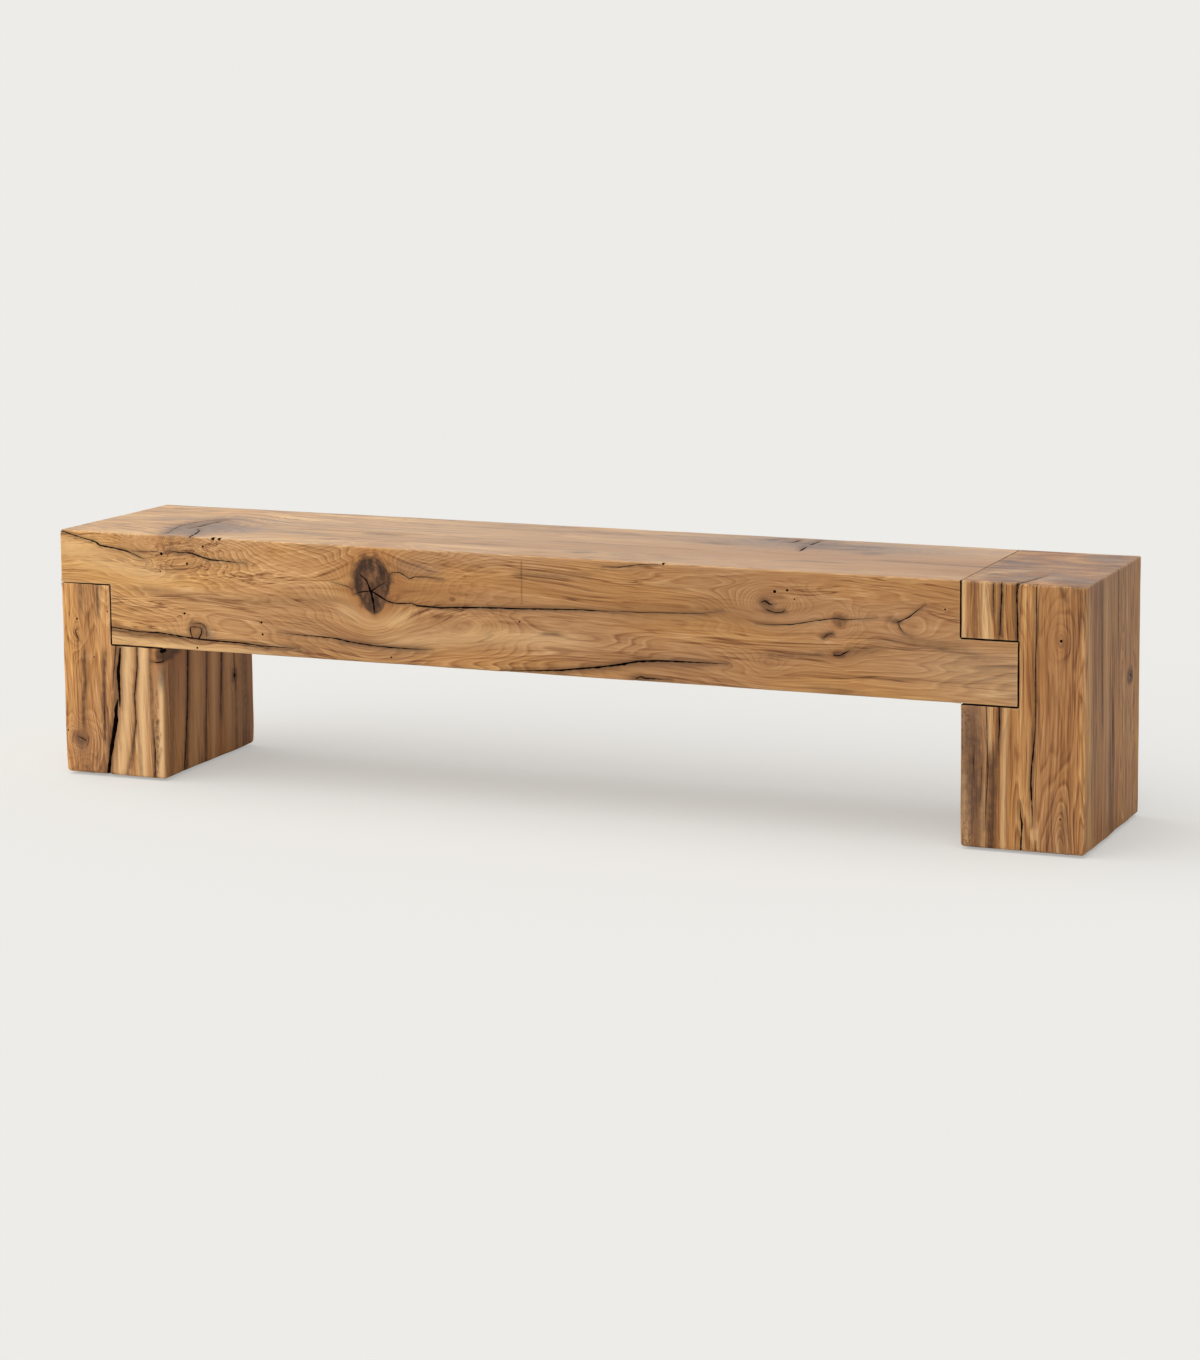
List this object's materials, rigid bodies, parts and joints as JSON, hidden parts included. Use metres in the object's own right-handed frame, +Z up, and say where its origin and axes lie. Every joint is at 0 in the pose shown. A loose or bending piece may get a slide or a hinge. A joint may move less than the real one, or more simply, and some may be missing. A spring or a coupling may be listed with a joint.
{
  "type": "wooden bench",
  "caption": "Rustic backless bench: a heavy seat beam lapped over a short block leg at one end and tongued into a tall block leg at the other, on hidden bolts, dowels and glides.",
  "frame": {"origin": "on the floor, under the middle of the bench's bounding box", "axes": "+X along the seat towards the tall leg, +Y towards the back, +Z up"},
  "size_m": [1.9376, 0.35, 0.457],
  "materials": {
    "seat_beam_timber": "oiled, weathered, with knots and checks",
    "left_leg_timber": "oiled, weathered, with knots and checks",
    "right_leg_timber": "oiled, weathered, with knots and checks",
    "dowel_beech": "plain sanded",
    "zinc_steel": "zinc plated",
    "insert_brass": "turned",
    "glide_nylon": "moulded"
  },
  "bodies": {
    "root": {"left_back_bolt_washer": "zinc_steel", "left_back_dowel": "dowel_beech", "left_back_leg_bolt": "zinc_steel", "left_back_threaded_insert": "insert_brass", "left_front_bolt_washer": "zinc_steel", "left_front_dowel": "dowel_beech", "left_front_leg_bolt": "zinc_steel", "left_front_threaded_insert": "insert_brass", "left_inner_back_glide": "glide_nylon", "left_inner_back_glide_screw": "zinc_steel", "left_inner_front_glide": "glide_nylon", "left_inner_front_glide_screw": "zinc_steel", "left_leg": "left_leg_timber", "left_outer_back_glide": "glide_nylon", "left_outer_back_glide_screw": "zinc_steel", "left_outer_front_glide": "glide_nylon", "left_outer_front_glide_screw": "zinc_steel", "right_back_bolt_washer": "zinc_steel", "right_back_dowel": "dowel_beech", "right_back_leg_bolt": "zinc_steel", "right_back_threaded_insert": "insert_brass", "right_front_bolt_washer": "zinc_steel", "right_front_dowel": "dowel_beech", "right_front_leg_bolt": "zinc_steel", "right_front_threaded_insert": "insert_brass", "right_inner_back_glide": "glide_nylon", "right_inner_back_glide_screw": "zinc_steel", "right_inner_front_glide": "glide_nylon", "right_inner_front_glide_screw": "zinc_steel", "right_leg": "right_leg_timber", "right_outer_back_glide": "glide_nylon", "right_outer_back_glide_screw": "zinc_steel", "right_outer_front_glide": "glide_nylon", "right_outer_front_glide_screw": "zinc_steel", "seat_beam": "seat_beam_timber"}
  },
  "joints": []
}
